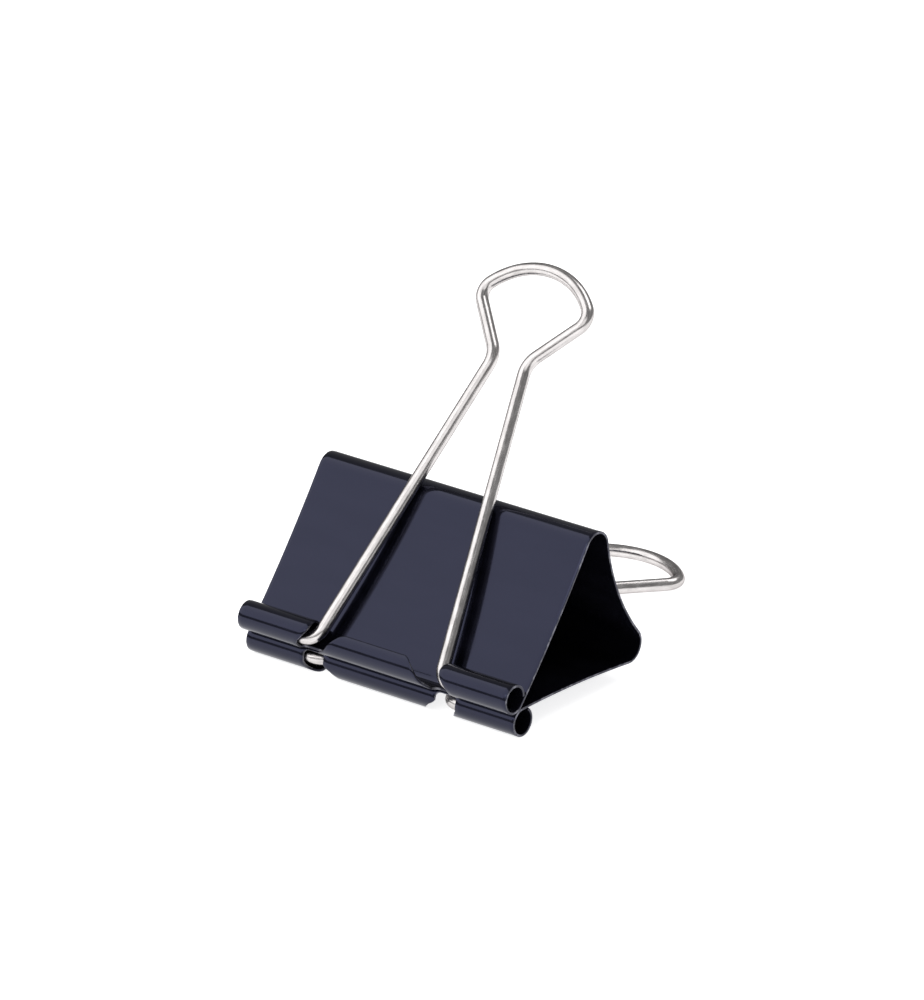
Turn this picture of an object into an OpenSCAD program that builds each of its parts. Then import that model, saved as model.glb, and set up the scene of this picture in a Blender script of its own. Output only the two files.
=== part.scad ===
// Foldback clip (binder clip): a sprung sheet-steel body and two fold-over wire handles.
// X runs along the jaws, Y from the jaws to the spine, Z up. The origin is the middle of the
// line where the two jaws meet. The clip lies as it does on a table, on its lower roll and on
// the lower handle, with the upper handle folded back over its top corner.
// The drawing plane of the body is s (jaws to spine) and n (across the jaws), tilted by rest_tilt.

/* [Body] */

// Width of the body along its jaws, in mm
clip_width = 51; // [38:0.5:64]

// Depth from the centre of the rolls to the back of the corners, in mm
body_depth = 27.8; // [20:0.1:36]

// Height of the spine over its two corners, in mm
spine_height = 25.7; // [18:0.1:32]

// How far the middle of the spine is hollowed in from its corners, in mm
spine_hollow = 1.4; // [0.6:0.1:2.5]

// Outside radius of the two corners, in mm
corner_radius = 2.8; // [1.6:0.1:4]

// Radius of the slight inward bow of each wall, in mm
wall_bow_radius = 220; // [70:5:400]

// Thickness of the sheet, in mm
sheet = 0.4; // [0.3:0.02:0.6]

/* [Rolled jaws] */

// Outside diameter of the rolled edges, in mm
roll_diameter = 4.6; // [3.6:0.1:6]

// Gap between the two rolls when the clip is shut, in mm
roll_gap = 0.1; // [0.02:0.01:0.4]

// Gap between the free edge of a closed roll and the wall, in mm
roll_lip_gap = 0.08; // [0.02:0.01:0.3]

// Angle at which the middle tab stops, measured from the +s side of its roll, in degrees
tab_end_angle = 88; // [70:1:120]

/* [Slots] */

// Clearance between a handle's wire and the outer side of its slot, in mm
slot_clearance = 0.1; // [0.05:0.01:0.5]

// Width of a slot at the top of the roll, in mm
slot_width_top = 6.3; // [4:0.1:8]

// Width of a slot at its root, in mm
slot_width_root = 3.9; // [3:0.1:6]

// How far a slot leans outwards from the top of the roll to its root, in mm
slot_lean = 2.0; // [1:0.1:3]

// How far a closed roll's end draws back over the top of the roll, in mm
slot_flare = 0.4; // [0.1:0.1:1.5]

/* [Handles] */

// Diameter of the wire, in mm
wire_diameter = 2.0; // [1.2:0.05:2.4]

// Distance from the axis of the feet to the top of the loop, in mm
handle_reach = 64.4; // [45:0.2:80]

// Distance between the two legs, measured at the axis of the feet, in mm
leg_spread = 23.7; // [18:0.1:28]

// Distance between the two legs at the neck, in mm
neck_spread = 6.0; // [4:0.1:10]

// Distance from the axis of the feet to the neck, in mm
neck_reach = 49.7; // [35:0.1:65]

// Radius of the top of the loop, in mm
loop_radius = 12.2; // [9:0.1:16]

// Radius of the two corners of the loop, in mm
loop_corner_radius = 2.5; // [1.5:0.1:4]

// Half the distance between the centres of the loop's corners, in mm
loop_corner_x = 7.2; // [5:0.1:9]

// Radius of the bend at the neck, in mm
neck_radius = 4; // [2:0.1:6]

// Radius of the bend between leg and foot, in mm
foot_radius = 2.6; // [2:0.1:4]

// Distance from the end of a foot to the end of its roll, in mm
foot_inset = 5; // [2:0.1:9]

// Clearance between a foot and the inside of its roll, in mm
foot_clearance = 0.15; // [0.05:0.01:0.5]

// Clearance between a folded-back handle and the corner it lies on, in mm
handle_clearance = 0.1; // [0.05:0.01:1]

/* [Hidden] */

$fn = 48;

steel_black = [0.03, 0.03, 0.035];
nickel = [0.80, 0.79, 0.77];

half = clip_width / 2;
roll_r = roll_diameter / 2;
roll_mid = roll_r - sheet / 2;
bore_r = roll_r - sheet;
wire_r = wire_diameter / 2;
corner_mid = corner_radius - sheet / 2;

// Centre of the upper roll, and of the upper corner, in the s and n plane.
roll_c = [0, roll_r + roll_gap / 2];
corner_c = [body_depth - corner_radius, spine_height / 2 - corner_radius];

// The spine is one arc that touches both corners from outside.
spine_k = spine_hollow - corner_radius;
spine_r = (spine_k * spine_k + corner_c[1] * corner_c[1] - corner_radius * corner_radius)
  / (2 * spine_hollow);
spine_c = [body_depth - spine_hollow + spine_r, 0];
spine_half_angle = atan2(corner_c[1], spine_c[0] - corner_c[0]);

// A wall is one arc: the roll lies inside its circle, and the corner outside it.
link = corner_c - roll_c;
link_len = norm(link);
reach_roll = wall_bow_radius - roll_mid;
reach_corner = wall_bow_radius + corner_mid;
along = (link_len * link_len + reach_roll * reach_roll - reach_corner * reach_corner)
  / (2 * link_len);
across = sqrt(reach_roll * reach_roll - along * along);
bow_c = roll_c + along * link / link_len + across * [-link[1], link[0]] / link_len;
bow_start = atan2(roll_c[1] - bow_c[1], roll_c[0] - bow_c[0]);
bow_end = atan2(corner_c[1] - bow_c[1], corner_c[0] - bow_c[0]);
roll_tangent = bow_start + 360;
corner_tangent = bow_end + 180;

// The free edge of a closed roll stops where it clears the wall.
lip_angle = acos((roll_mid - sheet / 2 - roll_lip_gap) / roll_r);
roll_start = roll_tangent + lip_angle - 360;

// The corners are parted where they point straight across the jaws: the hinge is the outer edge.
part_angle = 90;
hinge = corner_c + corner_radius * [cos(part_angle), sin(part_angle)];

// The feet lie against the front of the bore.
foot_offset = bore_r - wire_r - foot_clearance;
foot_angle = 205;
foot_c = roll_c + foot_offset * [cos(foot_angle), sin(foot_angle)];

// The folded-back handle just clears the corner.
fold_v = corner_c - foot_c;
fold_angle = atan2(fold_v[1], fold_v[0])
  + asin((corner_radius + wire_r + handle_clearance) / norm(fold_v));

// The clip rests on the lower roll and on the end of the lower handle.
loop_end = [foot_c[0] + handle_reach * cos(fold_angle), -foot_c[1] - handle_reach * sin(fold_angle)];
rest_v = loop_end - [roll_c[0], -roll_c[1]];
rest_tilt = asin((wire_r - roll_r) / norm(rest_v)) - atan2(rest_v[1], rest_v[0]);

// The handle's path, as x across and r along it.
leg_slope = (leg_spread / 2 - neck_spread / 2) / neck_reach;
leg_angle = atan(leg_slope);
foot_tangent = foot_radius * tan((90 - leg_angle) / 2);
foot_bend_c = [leg_spread / 2 + foot_tangent, foot_radius];
foot_end = half - foot_inset;
foot_chamfer = 0.3;
neck = [neck_spread / 2, neck_reach];
loop_c = [0, handle_reach - loop_radius];
loop_inner = loop_radius - loop_corner_radius;
loop_corner_c = [loop_corner_x, loop_c[1] + sqrt(loop_inner * loop_inner - loop_corner_x * loop_corner_x)];
flare_v = loop_corner_c - neck;
flare_angle = atan2(flare_v[0], flare_v[1]) + asin(loop_corner_radius / norm(flare_v));
neck_tangent = neck_radius * tan((leg_angle + flare_angle) / 2);
neck_start = neck + neck_tangent * [sin(leg_angle), -cos(leg_angle)];
neck_finish = neck + neck_tangent * [sin(flare_angle), cos(flare_angle)];
neck_c = neck_start + neck_radius * [cos(leg_angle), sin(leg_angle)];
flare_finish = loop_corner_c + loop_corner_radius * [cos(flare_angle), -sin(flare_angle)];
loop_join_angle = atan2(loop_corner_c[1] - loop_c[1], loop_corner_c[0]);
function loop_point(a) = loop_c + loop_radius * [cos(a), sin(a)];

// Slot edges, measured from the middle of the clip.
slot_out_top = foot_bend_c[0] - (foot_radius - wire_r) + slot_clearance;
slot_out_root = slot_out_top + slot_lean;
slot_in_top = slot_out_top - slot_width_top;
slot_in_root = slot_out_root - slot_width_root;
slot_face = 135;
slot_back = 0.36 * roll_mid;
slot_top_angle = slot_face - acos(-slot_back / roll_mid);

// Where two lengths meet, one is thinner a side by a skim and runs into the other by lap.
skim = 0.01;
wire_skim = 0.02;
lap = 0.08;
lap_angle = lap * 180 / (PI * wall_bow_radius);

// The slot seen square on to the front of the roll: t runs down the front, x along the jaws.
slot_outline = [
  [-1.5 * roll_mid, slot_out_top + slot_flare],
  [-1.02 * roll_mid, slot_out_top + 0.55 * slot_flare],
  [-0.90 * roll_mid, slot_out_top + 0.20 * slot_flare],
  [-0.72 * roll_mid, slot_out_top],
  [-0.50 * roll_mid, slot_out_top],
  [-0.25 * roll_mid, slot_out_top + 0.10 * slot_lean],
  [0.05 * roll_mid, slot_out_top + 0.31 * slot_lean],
  [0.37 * roll_mid, slot_out_top + 0.60 * slot_lean],
  [0.62 * roll_mid, slot_out_top + 0.86 * slot_lean],
  [0.82 * roll_mid, slot_out_top + 0.98 * slot_lean],
  [1.00 * roll_mid, slot_out_root],
  [1.5 * roll_mid, slot_out_root],
  [1.5 * roll_mid, slot_in_root],
  [0.96 * roll_mid, slot_in_root],
  [0.89 * roll_mid, slot_in_root - 0.08 * (slot_in_root - slot_in_top)],
  [0.75 * roll_mid, slot_in_root - 0.28 * (slot_in_root - slot_in_top)],
  [0.53 * roll_mid, slot_in_root - 0.42 * (slot_in_root - slot_in_top)],
  [0.09 * roll_mid, slot_in_root - 0.59 * (slot_in_root - slot_in_top)],
  [-0.45 * roll_mid, slot_in_root - 0.86 * (slot_in_root - slot_in_top)],
  [-0.71 * roll_mid, slot_in_top],
  [-1.5 * roll_mid, slot_in_top]
];

// Points on an arc about c, from angle a to angle b in n steps. The first can be left out.
function arc(c, r, a, b, n, first = 0) =
  [for (i = [first:n]) c + r * [cos(a + (b - a) * i / n), sin(a + (b - a) * i / n)]];

function reversed(list) = [for (i = [len(list) - 1:-1:0]) list[i]];

// One side of a wall's sheet from the corner into its roll; side is 1 outside, -1 inside.
function wall_side(side, t) = concat(
  arc(corner_c, corner_mid + side * t, part_angle, corner_tangent, 4),
  arc(bow_c, wall_bow_radius - side * t, bow_end, bow_start - lap_angle, 12, 1)
);

// One side of the spine's sheet, from the upper corner to the lower one.
function web_side(side) = concat(
  arc(corner_c, corner_mid + side * sheet / 2, part_angle, -spine_half_angle, 14),
  arc(spine_c, spine_r + sheet / 2 - side * sheet / 2, 180 - spine_half_angle, 180 + spine_half_angle, 12, 1),
  arc([corner_c[0], -corner_c[1]], corner_mid + side * sheet / 2, spine_half_angle, -part_angle, 14, 1)
);

// Turns the s, n and x of the body's drawing into the clip lying on its table.
module lay() {
  rotate([rest_tilt, 0, 0]) rotate([90, 0, 90]) children();
}

// The lower half is the upper half turned over.
module turn_over() {
  mirror([0, 1, 0]) children();
}

// A part of a ring about c, from angle a to angle b and from x0 to x1.
module ring(r0, r1, a, b, x0, x1) {
  translate([roll_c[0], roll_c[1], 0]) rotate([0, 0, a]) rotate_extrude(angle = b - a)
    translate([r0, x0]) square([r1 - r0, x1 - x0]);
}

module wall() {
  t = sheet / 2 - skim;
  translate([0, 0, -half]) linear_extrude(height = clip_width)
    polygon(concat(wall_side(1, t), reversed(wall_side(-1, t))));
}

module slot() {
  translate([roll_c[0], roll_c[1], 0]) rotate([90, 0, slot_face + 90])
    translate([0, 0, -slot_back]) linear_extrude(height = slot_back + 1.5 * roll_r)
      polygon(slot_outline);
}

// The wall with its two closed rolls and the open tab between them.
module jaw() {
  inner = bore_r - 0.5 * sheet;
  outer = roll_r + 0.5 * roll_lip_gap;
  shoulder = slot_out_top + slot_flare;
  union() {
    wall();
    difference() {
      ring(bore_r, roll_r, roll_start, roll_tangent, -half, half);
      ring(inner, outer, roll_start - 2, tab_end_angle, -slot_out_top, slot_out_top);
      ring(inner, outer, roll_start - 2, slot_top_angle + 3, -shoulder, shoulder);
      slot();
      mirror([0, 0, 1]) slot();
    }
  }
}

module web() {
  translate([0, 0, -half]) linear_extrude(height = clip_width)
    polygon(concat(web_side(1), reversed(web_side(-1))));
}

// A straight length of wire from p to q, run on by lap at both ends.
module wire(p, q, extra = lap) {
  d = q - p;
  translate([p[0], p[1], 0]) rotate([0, 0, atan2(d[1], d[0])]) rotate([0, 90, 0])
    translate([0, 0, -extra]) cylinder(r = wire_r - wire_skim, h = norm(d) + 2 * extra);
}

// A bend in the wire about c, from angle a to angle b.
module wire_bend(c, r, a, b) {
  translate([c[0], c[1], 0]) rotate([0, 0, a]) rotate_extrude(angle = b - a)
    translate([r, 0]) circle(r = wire_r);
}

// A foot lies along its roll, with a small chamfer on its end.
module foot() {
  start = foot_bend_c[0] - lap;
  translate([start, 0, 0]) rotate([0, 90, 0]) {
    cylinder(r = wire_r - wire_skim, h = foot_end - foot_chamfer - start);
    translate([0, 0, foot_end - foot_chamfer - start])
      cylinder(r1 = wire_r - wire_skim, r2 = wire_r - foot_chamfer, h = foot_chamfer);
  }
}

module half_handle() {
  foot();
  wire_bend(foot_bend_c, foot_radius, 180 + leg_angle, 270);
  wire(foot_bend_c - foot_radius * [cos(leg_angle), sin(leg_angle)], neck_start);
  wire_bend(neck_c, neck_radius, 180 - flare_angle, 180 + leg_angle);
  wire(neck_finish, flare_finish);
  wire_bend(loop_corner_c, loop_corner_radius, -flare_angle, loop_join_angle - 2);
  wire(loop_point(loop_join_angle - 1), loop_point(loop_join_angle + 1), 0.15);
}

// The bent wire, with one length of it over the top of the loop.
module handle() {
  union() {
    half_handle();
    mirror([1, 0, 0]) half_handle();
    wire_bend(loop_c, loop_radius, loop_join_angle + 0.5, 179.5 - loop_join_angle);
  }
}

// Stands a handle on its feet at f, folded to the given angle.
module fold(f, angle) {
  rotate([rest_tilt, 0, 0]) translate([0, f[0], f[1]]) rotate([angle, 0, 0]) children();
}

module spine() {
  color(steel_black) lay() web();
}

module upper_jaw() {
  color(steel_black) lay() jaw();
}

module lower_jaw() {
  color(steel_black) lay() turn_over() jaw();
}

module upper_handle() {
  color(nickel) fold(foot_c, fold_angle) handle();
}

module lower_handle() {
  color(nickel) fold([foot_c[0], -foot_c[1]], -fold_angle) handle();
}

spine();
upper_jaw();
lower_jaw();
upper_handle();
lower_handle();
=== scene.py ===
"""The looks of a foldback clip: a glossy black sprung-steel body and two bright wire handles.

Every piece is built in metres in the CAD frame. The body's sheet is drawn as a flat pattern and
bent along its profile, and each handle is one wire drawn along its own bends.
"""

import logging
import math
from dataclasses import dataclass, field
from enum import Enum

import bmesh
import bpy
from mathutils import Matrix, Vector


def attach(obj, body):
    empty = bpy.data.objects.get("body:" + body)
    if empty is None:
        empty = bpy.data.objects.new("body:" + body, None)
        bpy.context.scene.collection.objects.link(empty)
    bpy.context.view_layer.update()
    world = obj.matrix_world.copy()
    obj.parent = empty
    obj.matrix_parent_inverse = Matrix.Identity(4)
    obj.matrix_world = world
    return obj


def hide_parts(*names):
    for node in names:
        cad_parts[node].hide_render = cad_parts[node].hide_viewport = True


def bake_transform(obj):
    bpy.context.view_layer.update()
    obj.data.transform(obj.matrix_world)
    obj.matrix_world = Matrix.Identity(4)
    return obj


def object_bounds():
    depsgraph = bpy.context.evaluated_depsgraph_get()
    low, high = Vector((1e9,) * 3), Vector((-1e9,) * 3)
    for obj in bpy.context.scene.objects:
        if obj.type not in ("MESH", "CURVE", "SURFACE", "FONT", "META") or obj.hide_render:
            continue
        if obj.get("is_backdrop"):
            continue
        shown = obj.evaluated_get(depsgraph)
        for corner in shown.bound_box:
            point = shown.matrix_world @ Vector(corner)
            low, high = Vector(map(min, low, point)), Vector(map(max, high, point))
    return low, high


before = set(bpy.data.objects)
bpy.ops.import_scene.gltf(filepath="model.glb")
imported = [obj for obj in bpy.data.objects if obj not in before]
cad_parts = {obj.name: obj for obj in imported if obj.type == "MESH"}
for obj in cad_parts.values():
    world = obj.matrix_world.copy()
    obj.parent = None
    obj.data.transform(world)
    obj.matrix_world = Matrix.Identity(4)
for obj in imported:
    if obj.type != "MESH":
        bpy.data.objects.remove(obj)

LOG = logging.getLogger("clip")
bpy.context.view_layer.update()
MM = 0.001
Colour = tuple[float, float, float]


# --------------------------------------------------------------------------------------------
# Sizes of the clip, the same as the solids'
# --------------------------------------------------------------------------------------------


class Half(Enum):
    """Which half of the clip a piece belongs to: the value is the sign of n."""

    UPPER = 1
    LOWER = -1


@dataclass(frozen=True)
class BodySizes:
    """The sheet body in millimetres, in its own plane: s from jaws to spine, n across the jaws."""

    width: float = 51.0
    depth: float = 27.8
    height: float = 25.7
    hollow: float = 1.4
    corner_radius: float = 2.8
    bow_radius: float = 220.0
    sheet: float = 0.4
    roll_diameter: float = 4.6
    roll_gap: float = 0.01
    lip_gap: float = 0.08
    tab_end_deg: float = 88.0
    tilt_deg: float = 24.51106

    @property
    def roll_mid(self) -> float:
        """Radius of the middle of the sheet round a roll."""
        return self.roll_diameter / 2 - self.sheet / 2

    @property
    def corner_mid(self) -> float:
        """Radius of the middle of the sheet round a corner."""
        return self.corner_radius - self.sheet / 2

    @property
    def roll_centre(self) -> Vector:
        """Centre of the upper roll."""
        return Vector((0.0, self.roll_diameter / 2 + self.roll_gap / 2))

    @property
    def corner_centre(self) -> Vector:
        """Centre of the upper corner."""
        return Vector((self.depth - self.corner_radius, self.height / 2 - self.corner_radius))


@dataclass(frozen=True)
class SlotSizes:
    """The slot that a handle comes out of, as half widths from the middle of the clip, in mm."""

    outer_top: float = 12.528
    lean: float = 2.0
    width_top: float = 6.3
    width_root: float = 3.9
    flare: float = 0.4
    root_deg: float = 246.1
    root_round: float = 0.7


@dataclass(frozen=True)
class WireSizes:
    """A handle's path in millimetres: x across and r out from the axis of its feet."""

    diameter: float = 2.0
    reach: float = 64.4
    leg_spread: float = 23.7
    neck_spread: float = 6.0
    neck_reach: float = 49.7
    loop_radius: float = 12.2
    corner_radius: float = 2.5
    corner_x: float = 7.2
    neck_radius: float = 4.0
    foot_radius: float = 2.6
    foot_end: float = 20.5
    foot_chamfer: float = 0.3
    fold_deg: float = 25.67342
    foot_s: float = -0.679731
    foot_n: float = 2.033036


def lay(s: float, n: float, x: float, tilt_deg: float) -> Vector:
    """Places a point of the body's own plane in the row frame.

    Args:
        s: Millimetres from the jaws towards the spine.
        n: Millimetres across the jaws.
        x: Millimetres along the jaws.
        tilt_deg: How far the clip leans back as it lies.

    Returns:
        The point in metres.
    """
    t = math.radians(tilt_deg)
    return Vector((x, s * math.cos(t) - n * math.sin(t), s * math.sin(t) + n * math.cos(t))) * MM


def smoothstep(a: float, b: float, t: float) -> float:
    """Goes smoothly from 0 at a to 1 at b.

    Args:
        a: Where it is 0.
        b: Where it is 1.
        t: The value looked up.

    Returns:
        A number from 0 to 1.
    """
    k = min(max((t - a) / (b - a), 0.0), 1.0)
    return k * k * (3 - 2 * k)


def ramp(points: tuple[tuple[float, float], ...], t: float) -> float:
    """Reads a line of straight pieces.

    Args:
        points: Pairs of place and value, with the places rising.
        t: The place looked up.

    Returns:
        The value there.
    """
    if t <= points[0][0]:
        return points[0][1]
    for (t0, v0), (t1, v1) in zip(points, points[1:]):
        if t <= t1:
            return v0 + (v1 - v0) * (t - t0) / (t1 - t0)
    return points[-1][1]


# --------------------------------------------------------------------------------------------
# The profile that the sheet follows
# --------------------------------------------------------------------------------------------


class Stretch(Enum):
    """The parts of the sheet's profile, in the order it runs from the spine's middle."""

    WEB = "web"
    CORNER = "corner"
    WALL = "wall"
    ROLL = "roll"


WEB_ANGLE = 400.0
CORNER_ANGLE = 380.0
WALL_ANGLE_SPAN = 60.0


@dataclass(frozen=True)
class Station:
    """One place along the profile: where it is, and how far round the roll, in degrees.

    Rows off the roll have an angle past a full turn, where the columns of the sheet are even.
    """

    s: float
    n: float
    stretch: Stretch
    angle: float


@dataclass
class Profile:
    """The middle line of the upper half's sheet, from the spine's middle to the roll's free edge.

    Attributes:
        sizes: The body's sizes.
    """

    sizes: BodySizes
    spine_centre: Vector = field(init=False)
    spine_mid: float = field(init=False)
    spine_half_deg: float = field(init=False)
    bow_centre: Vector = field(init=False)
    wall_start_deg: float = field(init=False)
    wall_end_deg: float = field(init=False)
    web_rows: int = 12
    corner_rows: int = 24
    wall_rows: int = 36
    roll_rows: int = 108

    def __post_init__(self) -> None:
        """Works out the arcs that join corner, spine, wall and roll without a kink."""
        z = self.sizes
        corner, roll = z.corner_centre, z.roll_centre
        k = z.hollow - z.corner_radius
        radius = (k * k + corner.y**2 - z.corner_radius**2) / (2 * z.hollow)
        self.spine_centre = Vector((z.depth - z.hollow + radius, 0.0))
        self.spine_mid = radius + z.sheet / 2
        self.spine_half_deg = math.degrees(math.atan2(corner.y, self.spine_centre.x - corner.x))
        link = corner - roll
        near, far = z.bow_radius - z.roll_mid, z.bow_radius + z.corner_mid
        along = (link.length_squared + near**2 - far**2) / (2 * link.length)
        across = math.sqrt(near**2 - along**2)
        unit = link.normalized()
        self.bow_centre = roll + along * unit + across * Vector((-unit.y, unit.x))
        to_roll, to_corner = roll - self.bow_centre, corner - self.bow_centre
        self.wall_end_deg = math.degrees(math.atan2(to_roll.y, to_roll.x))
        self.wall_start_deg = math.degrees(math.atan2(to_corner.y, to_corner.x))

    @property
    def roll_tangent_deg(self) -> float:
        """Where on the roll the wall comes in."""
        return self.wall_end_deg + 360

    @property
    def lip_deg(self) -> float:
        """Where the closed roll's free edge stops, short of the wall."""
        z = self.sizes
        outer, bore = z.roll_diameter / 2, z.roll_mid - z.sheet / 2
        return self.wall_end_deg + math.degrees(math.acos((bore - z.lip_gap) / outer))

    def stations(self) -> list[Station]:
        """Lays out the rows of the sheet.

        Returns:
            The stations from the middle of the spine to the roll's free edge.
        """
        z, out = self.sizes, []
        for i in range(self.web_rows + 1):
            a = math.radians(180 - self.spine_half_deg * i / self.web_rows)
            c = self.spine_centre + self.spine_mid * Vector((math.cos(a), math.sin(a)))
            out.append(Station(c.x, c.y, Stretch.WEB, WEB_ANGLE))
        start, end = -self.spine_half_deg, self.wall_start_deg + 180
        for i in range(1, self.corner_rows + 1):
            a = math.radians(start + (end - start) * i / self.corner_rows)
            c = z.corner_centre + z.corner_mid * Vector((math.cos(a), math.sin(a)))
            out.append(Station(c.x, c.y, Stretch.CORNER, CORNER_ANGLE))
        bow = self.wall_end_deg - self.wall_start_deg
        for i in range(1, self.wall_rows + 1):
            a = math.radians(self.wall_start_deg + bow * i / self.wall_rows)
            c = self.bow_centre + z.bow_radius * Vector((math.cos(a), math.sin(a)))
            off_roll = WALL_ANGLE_SPAN * (self.wall_rows - i) / self.wall_rows
            out.append(Station(c.x, c.y, Stretch.WALL, self.roll_tangent_deg + off_roll))
        curl = self.lip_deg - self.roll_tangent_deg
        for i in range(1, self.roll_rows + 1):
            deg = self.roll_tangent_deg + curl * i / self.roll_rows
            a = math.radians(deg)
            c = z.roll_centre + z.roll_mid * Vector((math.cos(a), math.sin(a)))
            out.append(Station(c.x, c.y, Stretch.ROLL, deg))
        return out


# --------------------------------------------------------------------------------------------
# Shared shader effects
# --------------------------------------------------------------------------------------------


@dataclass
class Effect:
    """A node group with named sockets, used by one or more materials.

    Attributes:
        name: The group's name.
        inputs: Names and default values of the number inputs.
        outputs: Names and kinds of the outputs.
    """

    name: str
    inputs: dict[str, float]
    outputs: dict[str, str]
    tree: bpy.types.NodeTree = field(init=False)
    start: bpy.types.Node = field(init=False)
    end: bpy.types.Node = field(init=False)

    def __post_init__(self) -> None:
        """Makes the empty group with its sockets."""
        self.tree = bpy.data.node_groups.new(self.name, "ShaderNodeTree")
        face = self.tree.interface
        face.new_socket("Vector", in_out="INPUT", socket_type="NodeSocketVector")
        for label, value in self.inputs.items():
            socket = face.new_socket(label, in_out="INPUT", socket_type="NodeSocketFloat")
            socket.default_value = value
        for label, kind in self.outputs.items():
            face.new_socket(label, in_out="OUTPUT", socket_type=kind)
        self.start = self.tree.nodes.new("NodeGroupInput")
        self.end = self.tree.nodes.new("NodeGroupOutput")

    def node(self, kind: str, **values: object) -> bpy.types.Node:
        """Adds a node and sets its properties.

        Args:
            kind: The node's type.
            **values: Properties to set on it.

        Returns:
            The new node.
        """
        made = self.tree.nodes.new(kind)
        for key, value in values.items():
            setattr(made, key, value)
        return made

    def link(self, out: bpy.types.NodeSocket, into: bpy.types.NodeSocket) -> None:
        """Joins two sockets inside the group.

        Args:
            out: The output.
            into: The input.
        """
        self.tree.links.new(out, into)

    def stretch(self, scale: tuple[float, float, float]) -> bpy.types.NodeSocket:
        """Scales the group's vector.

        Args:
            scale: Factors along the vector's three parts.

        Returns:
            The scaled vector.
        """
        made = self.node("ShaderNodeMapping")
        made.inputs["Scale"].default_value = scale
        self.link(self.start.outputs["Vector"], made.inputs["Vector"])
        return made.outputs["Vector"]

    def noise(
        self, vector: bpy.types.NodeSocket, scale: float, detail: float, rough: float = 0.5
    ) -> bpy.types.NodeSocket:
        """Adds a noise texture.

        Args:
            vector: Where it is looked up.
            scale: Its scale.
            detail: Its octaves.
            rough: How strong the fine octaves are.

        Returns:
            Its value, about a half.
        """
        made = self.node("ShaderNodeTexNoise")
        made.inputs["Scale"].default_value = scale
        made.inputs["Detail"].default_value = detail
        made.inputs["Roughness"].default_value = rough
        self.link(vector, made.inputs["Vector"])
        return made.outputs["Fac"]

    def span(
        self, value: bpy.types.NodeSocket, low: float, high: float, to_low: float, to_high: float
    ) -> bpy.types.NodeSocket:
        """Maps a value from one range to another, smoothly and without going past the ends.

        Args:
            value: The value.
            low: The start of its range.
            high: The end of its range.
            to_low: What low becomes.
            to_high: What high becomes.

        Returns:
            The mapped value.
        """
        made = self.node("ShaderNodeMapRange", interpolation_type="SMOOTHSTEP")
        ends = {"From Min": low, "From Max": high, "To Min": to_low, "To Max": to_high}
        for label, number in ends.items():
            made.inputs[label].default_value = number
        self.link(value, made.inputs["Value"])
        return made.outputs["Result"]

    def math(
        self, operation: str, a: bpy.types.NodeSocket, b: bpy.types.NodeSocket | float
    ) -> bpy.types.NodeSocket:
        """Adds a sum of two values.

        Args:
            operation: The math node's operation.
            a: The first value.
            b: The second value, a socket or a number.

        Returns:
            The result.
        """
        made = self.node("ShaderNodeMath", operation=operation)
        self.link(a, made.inputs[0])
        if isinstance(b, (int, float)):
            made.inputs[1].default_value = b
        else:
            self.link(b, made.inputs[1])
        return made.outputs[0]

    def tint(self, value: bpy.types.NodeSocket, low: Colour, high: Colour) -> bpy.types.NodeSocket:
        """Goes between two colours.

        Args:
            value: 0 for the first colour, 1 for the second.
            low: The first colour.
            high: The second colour.

        Returns:
            The colour.
        """
        made = self.node("ShaderNodeMix", data_type="RGBA")
        made.inputs[6].default_value = (*low, 1.0)
        made.inputs[7].default_value = (*high, 1.0)
        self.link(value, made.inputs[0])
        return made.outputs[2]


def make_paint_film() -> Effect:
    """Makes the look of gloss black paint on sheet: orange peel, fine dust and handling haze.

    Returns:
        The effect, with Color, Roughness and Height.
    """
    fx = Effect(
        "paint film",
        {"Peel": 1.0},
        {"Color": "NodeSocketColor", "Roughness": "NodeSocketFloat", "Height": "NodeSocketFloat"},
    )
    here = fx.stretch((1.0, 1.0, 1.0))
    along = fx.stretch((0.22, 1.0, 1.0))
    peel = fx.noise(here, 900.0, 2.0)
    swell = fx.noise(here, 130.0, 2.0)
    haze = fx.noise(along, 260.0, 5.0, 0.6)
    dust = fx.noise(here, 5200.0, 2.0, 0.7)
    specks = fx.span(dust, 0.68, 0.76, 0.0, 1.0)
    tone = fx.math("ADD", fx.span(haze, 0.3, 0.7, 0.0, 0.75), fx.math("MULTIPLY", specks, 0.25))
    colour = fx.tint(tone, (0.0020, 0.0020, 0.0034), (0.0050, 0.0050, 0.0085))
    fx.link(colour, fx.end.inputs["Color"])
    dull = fx.math("ADD", haze, fx.math("MULTIPLY", specks, 0.2))
    fx.link(fx.span(dull, 0.3, 0.85, 0.10, 0.20), fx.end.inputs["Roughness"])
    height = fx.math("ADD", fx.math("MULTIPLY", peel, 0.35), swell)
    fx.link(fx.math("MULTIPLY", height, fx.start.outputs["Peel"]), fx.end.inputs["Height"])
    return fx


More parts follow.
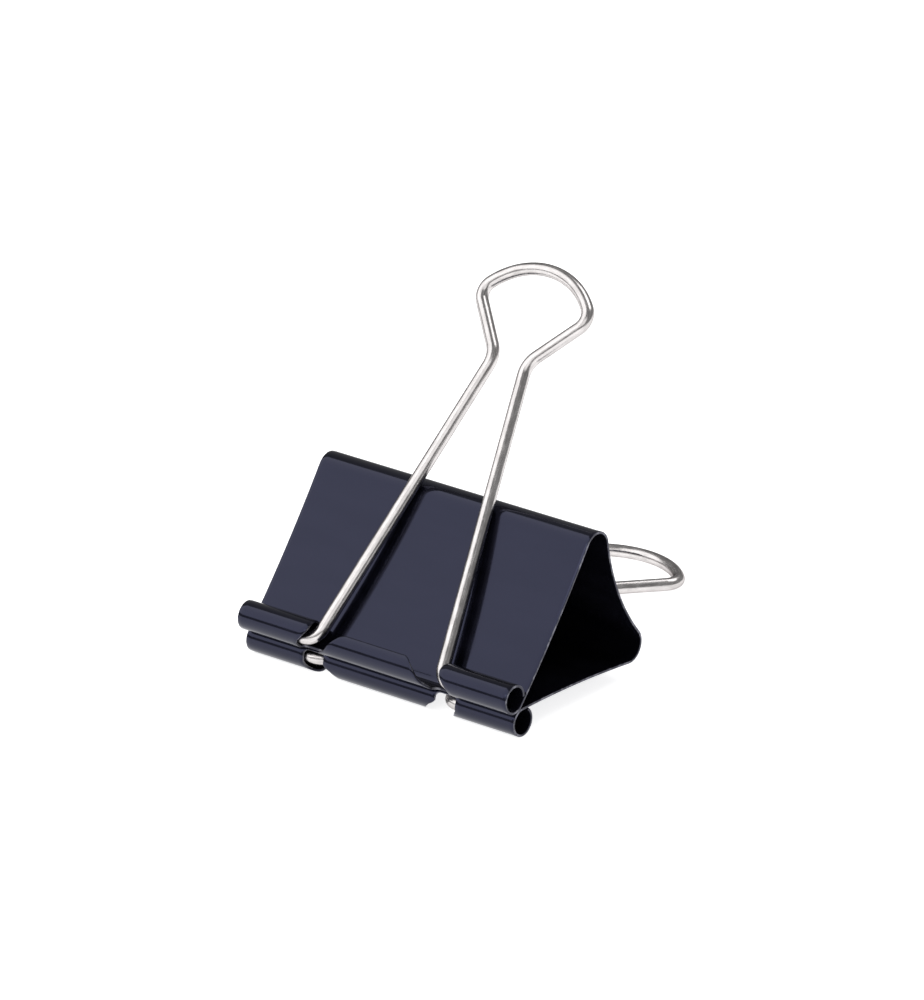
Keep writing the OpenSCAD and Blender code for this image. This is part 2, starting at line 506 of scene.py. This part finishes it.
def make_cut_edge() -> Effect:
    """Makes the look of the sheet's sheared edge: pale patches that are partly unpainted steel and
    partly a painted highlight along the edge, with paint left in the low places.

    Returns:
        The effect, with Color, Roughness, Metallic and Height.
    """
    fx = Effect(
        "cut edge",
        {},
        {
            "Color": "NodeSocketColor",
            "Roughness": "NodeSocketFloat",
            "Metallic": "NodeSocketFloat",
            "Height": "NodeSocketFloat",
        },
    )
    here = fx.stretch((1.0, 1.0, 1.0))
    patches = fx.noise(here, 620.0, 4.0, 0.65)
    grain = fx.noise(here, 5200.0, 3.0, 0.6)
    # The pale patches are partly unpainted steel and partly a painted highlight along the cut
    # edge; the same mask drives the metallic.
    steel_and_painted_highlight = fx.span(patches, 0.44, 0.62, 0.0, 1.0)
    fx.link(fx.tint(steel_and_painted_highlight, (0.004, 0.004, 0.006), (0.16, 0.16, 0.175)), fx.end.inputs["Color"])
    fx.link(fx.span(grain, 0.3, 0.7, 0.28, 0.45), fx.end.inputs["Roughness"])
    fx.link(fx.span(patches, 0.44, 0.62, 0.0, 0.7), fx.end.inputs["Metallic"])
    fx.link(grain, fx.end.inputs["Height"])
    return fx


def make_drawn_wire() -> Effect:
    """Makes the look of nickel plate on drawn wire: lengthwise lines, soft cloudiness, small pits.

    The vector's first part runs along the wire in millimetres and the other two go round it.

    Returns:
        The effect, with Color, Roughness and Height.
    """
    fx = Effect(
        "drawn wire",
        {"Lines": 1.0},
        {"Color": "NodeSocketColor", "Roughness": "NodeSocketFloat", "Height": "NodeSocketFloat"},
    )
    lines = fx.noise(fx.stretch((0.045, 5.0, 5.0)), 2.2, 5.0, 0.68)
    broad = fx.noise(fx.stretch((0.02, 1.4, 1.4)), 1.6, 2.0)
    cloud = fx.noise(fx.stretch((0.30, 0.8, 0.8)), 1.5, 4.0, 0.6)
    pits = fx.span(fx.noise(fx.stretch((3.0, 3.0, 3.0)), 2.6, 2.0, 0.6), 0.70, 0.78, 0.0, 1.0)
    tone = fx.math("ADD", fx.math("MULTIPLY", lines, 0.55), fx.math("MULTIPLY", cloud, 0.45))
    warm = fx.tint(fx.span(tone, 0.36, 0.62, 0.0, 1.0), (0.44, 0.42, 0.415), (0.66, 0.635, 0.63))
    spot = fx.node("ShaderNodeMix", data_type="RGBA", blend_type="MULTIPLY")
    fx.link(fx.math("MULTIPLY", pits, 0.45), spot.inputs[0])
    fx.link(warm, spot.inputs[6])
    spot.inputs[7].default_value = (0.35, 0.32, 0.30, 1.0)
    fx.link(spot.outputs[2], fx.end.inputs["Color"])
    rough = fx.math("ADD", fx.math("MULTIPLY", lines, 0.6), fx.math("MULTIPLY", cloud, 0.4))
    fx.link(fx.span(rough, 0.32, 0.66, 0.14, 0.30), fx.end.inputs["Roughness"])
    rise = fx.math("ADD", lines, fx.math("MULTIPLY", broad, 0.7))
    rise = fx.math("SUBTRACT", rise, fx.math("MULTIPLY", pits, 0.5))
    fx.link(fx.math("MULTIPLY", rise, fx.start.outputs["Lines"]), fx.end.inputs["Height"])
    return fx


@dataclass(frozen=True)
class Surface:
    """What a material is made of, besides its effect.

    Attributes:
        name: The material's name.
        effect: The node group that gives it its colour, roughness and height.
        attribute: The vertex attribute its effect is looked up by, or None for Object coordinates.
        bump_distance: The height's size in metres.
        bump_strength: How strongly the height shows.
        metallic: Metallic, where the effect doesn't give one.
        coat: How much clear coat there is.
        coat_roughness: The clear coat's roughness.
        specular: How strongly the bare surface mirrors.
        specular_tint: The colour that it mirrors in, at a glancing angle on bare metal.
    """

    name: str
    effect: Effect
    attribute: str | None
    bump_distance: float
    bump_strength: float
    metallic: float = 0.0
    coat: float = 0.0
    coat_roughness: float = 0.05
    specular: float = 0.5
    specular_tint: Colour = (1.0, 1.0, 1.0)

    def build(self) -> bpy.types.Material:
        """Makes the material.

        Returns:
            The finished material.
        """
        mat = bpy.data.materials.new(self.name)
        mat.use_nodes = True
        nodes, links = mat.node_tree.nodes, mat.node_tree.links
        shader = nodes["Principled BSDF"]
        group = nodes.new("ShaderNodeGroup")
        group.node_tree = self.effect.tree
        if self.attribute is None:
            place = nodes.new("ShaderNodeTexCoord").outputs["Object"]
        else:
            source = nodes.new("ShaderNodeAttribute")
            source.attribute_name = self.attribute
            place = source.outputs["Vector"]
        links.new(place, group.inputs["Vector"])
        links.new(group.outputs["Color"], shader.inputs["Base Color"])
        links.new(group.outputs["Roughness"], shader.inputs["Roughness"])
        if "Metallic" in self.effect.outputs:
            links.new(group.outputs["Metallic"], shader.inputs["Metallic"])
        else:
            shader.inputs["Metallic"].default_value = self.metallic
        bump = nodes.new("ShaderNodeBump")
        bump.inputs["Distance"].default_value = self.bump_distance
        bump.inputs["Strength"].default_value = self.bump_strength
        links.new(group.outputs["Height"], bump.inputs["Height"])
        links.new(bump.outputs["Normal"], shader.inputs["Normal"])
        shader.inputs["Specular IOR Level"].default_value = self.specular
        shader.inputs["Specular Tint"].default_value = (*self.specular_tint, 1.0)
        shader.inputs["Coat Weight"].default_value = self.coat
        shader.inputs["Coat Roughness"].default_value = self.coat_roughness
        return mat


# --------------------------------------------------------------------------------------------
# The sheet body
# --------------------------------------------------------------------------------------------


def keep_mesh(obj: bpy.types.Object) -> bpy.types.Object:
    """Turns an object's modifiers into mesh.

    Args:
        obj: The object.

    Returns:
        The same object, with no modifiers.
    """
    bpy.context.view_layer.update()
    graph = bpy.context.evaluated_depsgraph_get()
    old = obj.data
    obj.data = bpy.data.meshes.new_from_object(obj.evaluated_get(graph), depsgraph=graph)
    obj.data.name = obj.name
    obj.modifiers.clear()
    bpy.data.meshes.remove(old)
    return obj


TAB_CURL = 0.7
TAB_CURL_DEG = 18.0
EVEN_COLUMNS_DEG = 60.0
SHARP_DEG = 50.0
HARD_SHADE_DEG = 40.0


@dataclass
class SheetHalf:
    """One half of the body, from the middle of the spine round a corner and down to its roll.

    Attributes:
        half: Upper or lower.
        sizes: The body's sizes.
        slots: The slots' sizes.
        paint: The painted faces' material.
        edge: The cut edges' material.
        tube_columns: Columns of the flat pattern across one tube.
        slot_columns: Columns across one slot.
        tab_columns: Columns across the middle tab.
        edge_round: Millimetres that a cut edge is rounded by.
        flex_start: Not used.
        flex_end: Not used.
    """

    half: Half
    sizes: BodySizes
    slots: SlotSizes
    paint: bpy.types.Material
    edge: bpy.types.Material
    tube_columns: int = 14
    slot_columns: int = 8
    tab_columns: int = 30
    edge_round: float = 0.07
    flex_start: float = 25.9
    flex_end: float = 22.6

    @property
    def jaw(self) -> str:
        """Name of the jaw's body."""
        return "upper_jaw" if self.half is Half.UPPER else "lower_jaw"

    def outer_edge(self, deg: float) -> float:
        """Half width at which a closed roll begins.

        Args:
            deg: Angle round the roll.

        Returns:
            Millimetres from the middle of the clip.
        """
        z = self.slots
        top, root = z.outer_top, z.outer_top + z.lean
        line = (
            (-40.0, top + z.flare),
            (24.0, top + z.flare),
            (45.0, top + 0.50 * z.flare),
            (70.8, top + 0.14 * z.flare),
            (89.0, top),
            (105.0, top),
            (120.5, top + 0.10 * z.lean),
            (137.9, top + 0.31 * z.lean),
            (156.7, top + 0.60 * z.lean),
            (173.3, top + 0.86 * z.lean),
            (190.1, top + 0.98 * z.lean),
            (225.0, root),
        )
        return ramp(line, deg) - self.rounding(deg)

    def inner_edge(self, deg: float) -> float:
        """Half width of the middle tab.

        Args:
            deg: Angle round the roll.

        Returns:
            Millimetres from the middle of the clip.
        """
        z = self.slots
        top = z.outer_top - z.width_top
        root = z.outer_top + z.lean - z.width_root
        d = root - top
        line = (
            (89.8, top),
            (108.3, root - 0.86 * d),
            (140.2, root - 0.59 * d),
            (167.0, root - 0.42 * d),
            (183.6, root - 0.28 * d),
            (197.9, root - 0.08 * d),
            (208.7, root),
        )
        end = self.sizes.tab_end_deg
        near = max(0.0, 1 - (deg - end) / TAB_CURL_DEG)
        curl = TAB_CURL * (1 - math.sqrt(max(0.0, 1 - near**2)))
        return ramp(line, deg) + self.rounding(deg) - (curl if deg < end + TAB_CURL_DEG else 0.0)

    def rounding(self, deg: float) -> float:
        """How far a slot's side curves in near its root.

        Args:
            deg: Angle round the roll.

        Returns:
            Millimetres.
        """
        z = self.slots
        away = math.radians(z.root_deg - deg) * self.sizes.roll_mid
        k = min(max(1 - away / z.root_round, 0.0), 1.0)
        return z.root_round * (1 - math.sqrt(1 - k * k))

    def across(self, j: int, deg: float) -> float:
        """Where a column of the flat pattern lies.

        Args:
            j: The column, counted from the middle of the clip outwards.
            deg: Angle round the roll, or more than a full roll on the wall and spine.

        Returns:
            Millimetres from the middle of the clip.
        """
        inner, outer, half = self.inner_edge(deg), self.outer_edge(deg), self.sizes.width / 2
        even = smoothstep(self.slots.root_deg, self.slots.root_deg + EVEN_COLUMNS_DEG, deg)
        middle, slot, tube = self.tab_columns // 2, self.slot_columns, self.tube_columns
        total = middle + slot + tube
        if j <= middle:
            x = inner * j / middle
        elif j <= middle + slot:
            x = inner + (outer - inner) * (j - middle) / slot
        else:
            x = outer + (half - outer) * (j - middle - slot) / tube
        return x + (half * j / total - x) * even

    def missing(self, j: float, deg: float) -> bool:
        """Whether a face of the flat pattern is cut away.

        Args:
            j: The face's middle column, counted from the middle of the clip.
            deg: The face's angle round the roll.

        Returns:
            True where there is no sheet.
        """
        middle = self.tab_columns // 2
        if j < middle:
            return deg < self.sizes.tab_end_deg
        return j < middle + self.slot_columns and deg < self.slots.root_deg

    def pattern(self) -> bmesh.types.BMesh:
        """Draws the sheet's middle surface, bent to shape, with its slots cut.

        Returns:
            The mesh.
        """
        rows = Profile(self.sizes).stations()
        reach = self.tab_columns // 2 + self.slot_columns + self.tube_columns
        bm = bmesh.new()
        bmesh.ops.create_grid(bm, x_segments=2 * reach, y_segments=len(rows) - 1, size=1.0)
        places: dict[bmesh.types.BMVert, tuple[int, int]] = {}
        for v in bm.verts:
            j = round(v.co.x * reach)
            i = round((v.co.y + 1) / 2 * (len(rows) - 1))
            places[v] = (i, j)
            row = rows[i]
            x = math.copysign(self.across(abs(j), row.angle), j)
            v.co = lay(row.s, row.n * self.half.value, x, self.sizes.tilt_deg)
        gone = []
        for f in bm.faces:
            i = sum(places[v][0] for v in f.verts) / 4
            j = sum(places[v][1] for v in f.verts) / 4
            deg = (rows[int(i)].angle + rows[min(int(i) + 1, len(rows) - 1)].angle) / 2
            if rows[int(i + 0.5)].stretch is Stretch.ROLL and self.missing(abs(j), deg):
                gone.append(f)
        bmesh.ops.delete(bm, geom=gone, context="FACES")
        bmesh.ops.recalc_face_normals(bm, faces=bm.faces)
        return bm

    def thicken(self, bm: bmesh.types.BMesh) -> bpy.types.Object:
        """Gives the sheet its thickness and rounds its cut edges.

        Args:
            bm: The middle surface. It is used up.

        Returns:
            The finished object.
        """
        name = "body_" + self.half.name.lower() + "_half"
        mesh = bpy.data.meshes.new(name)
        bm.to_mesh(mesh)
        bm.free()
        obj = bpy.data.objects.new(name, mesh)
        bpy.context.scene.collection.objects.link(obj)
        obj.data.materials.append(self.paint)
        obj.data.materials.append(self.edge)
        sheet = obj.modifiers.new("sheet", "SOLIDIFY")
        sheet.thickness = self.sizes.sheet * MM
        sheet.offset = 0.0
        sheet.use_even_offset = True
        sheet.material_offset_rim = 1
        keep_mesh(obj)
        bm = bmesh.new()
        bm.from_mesh(obj.data)
        tilt = math.radians(self.sizes.tilt_deg)
        middle = Vector((0.0, -math.sin(tilt), math.cos(tilt)))
        sharp = [
            e
            for e in bm.edges
            if len(e.link_faces) == 2
            and e.calc_face_angle(0.0) > math.radians(SHARP_DEG)
            and max(abs(v.co.dot(middle)) for v in e.verts) > 0.02 * MM
        ]
        bmesh.ops.bevel(
            bm,
            geom=sharp,
            offset=self.edge_round * MM,
            offset_type="OFFSET",
            affect="EDGES",
            segments=2,
            profile=0.5,
            material=-1,
        )
        bmesh.ops.recalc_face_normals(bm, faces=bm.faces)
        for f in bm.faces:
            f.smooth = True
        for e in bm.edges:
            if len(e.link_faces) == 2 and e.calc_face_angle(0.0) > math.radians(HARD_SHADE_DEG):
                e.smooth = False
        bm.to_mesh(obj.data)
        bm.free()
        return obj

    def build(self) -> bpy.types.Object:
        """Makes the half, which runs from the middle of the spine to its jaw, bakes its placement
        and hides the spine and jaw parts that it stands in for.

        Returns:
            The finished object.
        """
        obj = self.thicken(self.pattern())
        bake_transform(obj)
        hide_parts("spine", self.jaw)
        return obj


# --------------------------------------------------------------------------------------------
# The wire handles
# --------------------------------------------------------------------------------------------


PathPoint = tuple[float, float, float]


@dataclass(frozen=True)
class WirePlace:
    """One place on a handle's path: x and r in millimetres, heading in degrees, length so far."""

    x: float
    r: float
    heading: float
    length: float


@dataclass
class WireHandle:
    """A handle bent from one wire, from foot to foot round its loop.

    Attributes:
        half: Upper or lower.
        sizes: The handle's sizes.
        body: The body's sizes, for how the clip lies.
        finish: The wire's material.
    """

    half: Half
    sizes: WireSizes
    body: BodySizes
    finish: bpy.types.Material
    sides: int = 40

    @property
    def rides_on(self) -> str:
        """Name of the handle's body and node."""
        return "upper_handle" if self.half is Half.UPPER else "lower_handle"

    @staticmethod
    def leg_line(a: PathPoint, b: tuple[float, float], steps: int) -> list[PathPoint]:
        """Lays out a straight length between two bends, without its ends.

        Args:
            a: Where it starts, with its heading.
            b: Where it ends.
            steps: How many parts it is in.

        Returns:
            The places on it.
        """
        fractions = [i / steps for i in range(1, steps)]
        return [(a[0] + (b[0] - a[0]) * k, a[1] + (b[1] - a[1]) * k, a[2]) for k in fractions]

    @staticmethod
    def bend(c: Vector, radius: float, a: float, b: float, steps: int) -> list[PathPoint]:
        """Lays out a bend.

        Args:
            c: Its centre.
            radius: Its radius.
            a: The angle that it starts at, in radians.
            b: The angle that it ends at.
            steps: How many parts it is in.

        Returns:
            The places on it, with both ends.
        """
        turn = 90.0 if b > a else -90.0
        out = []
        for i in range(steps + 1):
            t = a + (b - a) * i / steps
            x, r = c.x + radius * math.cos(t), c.y + radius * math.sin(t)
            out.append((x, r, math.degrees(t) + turn))
        return out

    def half_path(self) -> list[PathPoint]:
        """Lays out half of the wire, from the end of one foot to the top of the loop.

        Returns:
            Places as x, r and heading in degrees.
        """
        z = self.sizes
        slope = (z.leg_spread / 2 - z.neck_spread / 2) / z.neck_reach
        leg = math.atan(slope)
        tangent = z.foot_radius * math.tan((math.pi / 2 - leg) / 2)
        foot_c = Vector((z.leg_spread / 2 + tangent, z.foot_radius))
        loop_c = Vector((0.0, z.reach - z.loop_radius))
        inner = z.loop_radius - z.corner_radius
        corner_c = Vector((z.corner_x, loop_c.y + math.sqrt(inner**2 - z.corner_x**2)))
        neck = Vector((z.neck_spread / 2, z.neck_reach))
        flare_v = corner_c - neck
        flare = math.atan2(flare_v.x, flare_v.y) + math.asin(z.corner_radius / flare_v.length)
        run = z.neck_radius * math.tan((leg + flare) / 2)
        neck_start = neck + run * Vector((math.sin(leg), -math.cos(leg)))
        neck_c = neck_start + z.neck_radius * Vector((math.cos(leg), math.sin(leg)))
        join = math.atan2(corner_c.y - loop_c.y, corner_c.x)

        tip = z.foot_end - z.foot_chamfer
        out = [(tip + (foot_c.x - tip) * i / 6, 0.0, 180.0) for i in range(6)]
        bends = (
            self.bend(foot_c, z.foot_radius, 1.5 * math.pi, math.pi + leg, 20),
            self.bend(neck_c, z.neck_radius, math.pi + leg, math.pi - flare, 18),
            self.bend(corner_c, z.corner_radius, -flare, join, 24),
        )
        for number, bent in enumerate(bends):
            if number:
                out += self.leg_line(out[-1], bent[0][:2], 24)
            out += bent
        out += self.bend(loop_c, z.loop_radius, join, math.pi / 2, 20)[1:]
        return out

    def path(self) -> list[WirePlace]:
        """Lays out the whole wire.

        Returns:
            Its places, from one foot's end to the other's.
        """
        near = self.half_path()
        far = [(-x, r, 360 - heading) for x, r, heading in reversed(near[:-1])]
        out, length = [], 0.0
        last = None
        for x, r, heading in near + far:
            if last is not None:
                length += math.hypot(x - last[0], r - last[1])
            out.append(WirePlace(x, r, heading, length))
            last = (x, r)
        return out

    def place(self, x: float, r: float, up: float) -> Vector:
        """Puts a point of the handle's own plane in the row frame, folded back as it lies.

        Args:
            x: Millimetres across.
            r: Millimetres out from the feet.
            up: Millimetres off the handle's plane.

        Returns:
            The point in metres.
        """
        z, sign = self.sizes, self.half.value
        t = math.radians(z.fold_deg)
        s = z.foot_s + r * math.cos(t) - up * math.sin(t)
        n = z.foot_n + r * math.sin(t) + up * math.cos(t)
        return lay(s, sign * n, x, self.body.tilt_deg)

    def build(self) -> bpy.types.Object:
        """Draws the wire along its path, ring by ring, and gives it its finish.

        Returns:
            The finished object.
        """
        radius, chamfer = self.sizes.diameter / 2, self.sizes.foot_chamfer
        path = self.path()
        tips = []
        for k in (0.0, 0.35, 0.75):
            a = math.acos(1 - k)
            tips.append((radius - chamfer * (1 - math.sin(a)), chamfer * (1 - k)))
        rings = [(path[0], r, off) for r, off in tips]
        rings += [(p, radius, 0.0) for p in path]
        rings += [(path[-1], r, -off) for r, off in reversed(tips)]
        bm = bmesh.new()
        grain = bm.verts.layers.float_vector.new("wire_grain")
        made = bmesh.ops.create_circle(bm, cap_ends=False, segments=self.sides, radius=1.0)
        order = {v: i for i, v in enumerate(made["verts"])}
        loop = list(bm.edges)
        caps = []
        for step, (p, r, off) in enumerate(rings):
            if step:
                made = bmesh.ops.extrude_edge_only(bm, edges=loop)["geom"]
                loop = [g for g in made if isinstance(g, bmesh.types.BMEdge)]
                fresh = {g for g in made if isinstance(g, bmesh.types.BMVert)}
                linked = {}
                for v in fresh:
                    old = next(e.other_vert(v) for e in v.link_edges if e.other_vert(v) in order)
                    linked[v] = order[old]
                order = linked
            h = math.radians(p.heading)
            for v, i in order.items():
                a = 2 * math.pi * i / self.sides
                side, up = r * math.cos(a), r * math.sin(a)
                x = p.x - side * math.sin(h) - off * math.cos(h)
                y = p.r + side * math.cos(h) - off * math.sin(h)
                v.co = self.place(x, y, up)
                v[grain] = (p.length, math.cos(a), math.sin(a))
            if step in (0, len(rings) - 1):
                caps.append(list(loop))
        for ends in caps:
            bmesh.ops.contextual_create(bm, geom=ends)
        bmesh.ops.recalc_face_normals(bm, faces=bm.faces)
        for f in bm.faces:
            f.smooth = len(f.verts) == 4
        name = self.rides_on.replace("handle", "wire_handle")
        mesh = bpy.data.meshes.new(name)
        bm.to_mesh(mesh)
        bm.free()
        mesh.materials.append(self.finish)
        obj = bpy.data.objects.new(name, mesh)
        bpy.context.scene.collection.objects.link(obj)
        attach(obj, self.rides_on)
        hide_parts(self.rides_on)
        return obj


# --------------------------------------------------------------------------------------------
# Studio and camera
# --------------------------------------------------------------------------------------------


@dataclass(frozen=True)
class Softbox:
    """One soft white light: where it stands, what it looks at, its size and its power."""

    name: str
    place: tuple[float, float, float]
    aim: tuple[float, float, float]
    width: float
    height: float
    watts: float

    def build(self) -> bpy.types.Object:
        """Makes the light.

        Returns:
            The light's object.
        """
        data = bpy.data.lights.new(self.name, "AREA")
        data.shape = "RECTANGLE"
        data.size, data.size_y = self.width, self.height
        data.energy = self.watts
        obj = bpy.data.objects.new(self.name, data)
        obj.location = self.place
        look = Vector(self.aim) - Vector(self.place)
        obj.rotation_euler = look.to_track_quat("-Z", "Y").to_euler()
        bpy.context.scene.collection.objects.link(obj)
        return obj


TABLE_HALF_WIDTH = 6.0
SENSOR_WIDTH = 36.0


@dataclass
class Studio:
    """A pale table, soft lights and the camera.

    Attributes:
        softboxes: The lights.
        world_strength: How bright the white room is.
        azimuth_deg: The side that the camera stands on, from the front towards +X.
        elevation_deg: How high it looks from.
        distance: Metres from the camera to the origin.
        focal_widths: The lens's focal length in widths of its sensor.
        aim_right: How far right of the origin it looks, over the distance.
        aim_up: How far above the origin it looks, over the distance.
    """

    softboxes: tuple[Softbox, ...]
    world_strength: float
    azimuth_deg: float = 39.09
    elevation_deg: float = 23.67
    distance: float = 1.1864
    focal_widths: float = 8.658009
    aim_right: float = 0.0098875
    aim_up: float = 0.0209125

    def table(self) -> bpy.types.Object:
        """Makes the table that the clip lies on.

        Returns:
            The table.
        """
        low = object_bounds()[0][2]
        bm = bmesh.new()
        bmesh.ops.create_grid(bm, x_segments=2, y_segments=2, size=TABLE_HALF_WIDTH)
        bmesh.ops.translate(bm, verts=bm.verts, vec=(0, 0, low))
        mesh = bpy.data.meshes.new("table")
        bm.to_mesh(mesh)
        bm.free()
        mat = bpy.data.materials.new("pale table")
        mat.use_nodes = True
        shader = mat.node_tree.nodes["Principled BSDF"]
        shader.inputs["Base Color"].default_value = (0.93, 0.93, 0.93, 1)
        shader.inputs["Roughness"].default_value = 0.75
        shader.inputs["Specular IOR Level"].default_value = 0.2
        shader.inputs["Emission Color"].default_value = (1, 1, 1, 1)
        shader.inputs["Emission Strength"].default_value = 0.80
        mesh.materials.append(mat)
        obj = bpy.data.objects.new("table", mesh)
        bpy.context.scene.collection.objects.link(obj)
        obj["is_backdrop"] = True
        return obj

    def camera(self) -> bpy.types.Object:
        """Makes the camera, on the line that the clip is seen along.

        Returns:
            The camera.
        """
        a, e = math.radians(self.azimuth_deg), math.radians(self.elevation_deg)
        ahead = Vector((-math.sin(a) * math.cos(e), math.cos(a) * math.cos(e), -math.sin(e)))
        right = Vector((math.cos(a), math.sin(a), 0))
        up = right.cross(ahead)
        look = (ahead + right * self.aim_right + up * self.aim_up).normalized()
        side = look.cross(Vector((0, 0, 1))).normalized()
        data = bpy.data.cameras.new("camera")
        data.sensor_fit = "HORIZONTAL"
        data.sensor_width = SENSOR_WIDTH
        data.lens = SENSOR_WIDTH * self.focal_widths
        data.clip_start, data.clip_end = 0.05, 20.0
        data.dof.use_dof = False
        obj = bpy.data.objects.new("camera", data)
        turn = Matrix((side, side.cross(look), -look)).transposed()
        obj.matrix_world = Matrix.Translation(-ahead * self.distance) @ turn.to_4x4()
        bpy.context.scene.collection.objects.link(obj)
        bpy.context.scene.camera = obj
        return obj

    def build(self) -> None:
        """Sets up the studio."""
        world = bpy.data.worlds.new("studio")
        world.use_nodes = True
        back = world.node_tree.nodes["Background"]
        back.inputs["Color"].default_value = (1, 1, 1, 1)
        back.inputs["Strength"].default_value = self.world_strength
        bpy.context.scene.world = world
        bpy.context.scene.view_settings.view_transform = "Standard"
        self.table()
        self.camera()
        for box in self.softboxes:
            box.build()


def softboxes() -> tuple[Softbox, ...]:
    """Says where the lights stand.

    Returns:
        The studio's lights.
    """
    here = (0.0, 0.015, 0.015)
    return (
        Softbox("left front panel", (-1.0, -0.80, 1.15), here, 1.8, 1.8, 15.4),
        Softbox("front fill", (0.40, -1.35, 1.00), here, 2.2, 0.9, 7.5),
        Softbox("overhead", (0.25, 0.65, 1.15), here, 1.0, 0.7, 5.0),
    )


def main() -> None:
    """Builds the clip and its studio, in order."""
    logging.basicConfig(level=logging.INFO, format="%(message)s")
    body, slots, wire = BodySizes(), SlotSizes(), WireSizes()
    paint = Surface(
        "gloss black paint",
        make_paint_film(),
        None,
        bump_distance=0.000035,
        bump_strength=0.22,
        coat=0.12,
        coat_roughness=0.05,
        specular=0.42,
        # The blue specular tint is a painted tint of the reflected light: the lamps and room are
        # white, and the paint's sheen is made blue here.
        specular_tint=(0.49, 0.53, 1.0),
    ).build()
    edge = Surface(
        "cut edge",
        make_cut_edge(),
        None,
        bump_distance=0.00001,
        bump_strength=0.3,
        # The blue specular tint is a painted tint of the reflected light, as on the paint.
        specular_tint=(0.7, 0.7, 1.0),
    ).build()
    nickel = Surface(
        "nickel wire",
        make_drawn_wire(),
        "wire_grain",
        bump_distance=0.00002,
        bump_strength=0.30,
        metallic=1.0,
        specular_tint=(0.45, 0.44, 0.44),
    ).build()
    for half in Half:
        made = SheetHalf(half, body, slots, paint, edge).build()
        LOG.info("%s: %d faces", made.name, len(made.data.polygons))
    for half in Half:
        made = WireHandle(half, wire, body, nickel).build()
        LOG.info("%s: %d faces", made.name, len(made.data.polygons))
    studio = Studio(softboxes(), world_strength=0.28)
    studio.build()
    LOG.info("studio: %d lights", len(studio.softboxes))


if __name__ == "__main__":
    main()
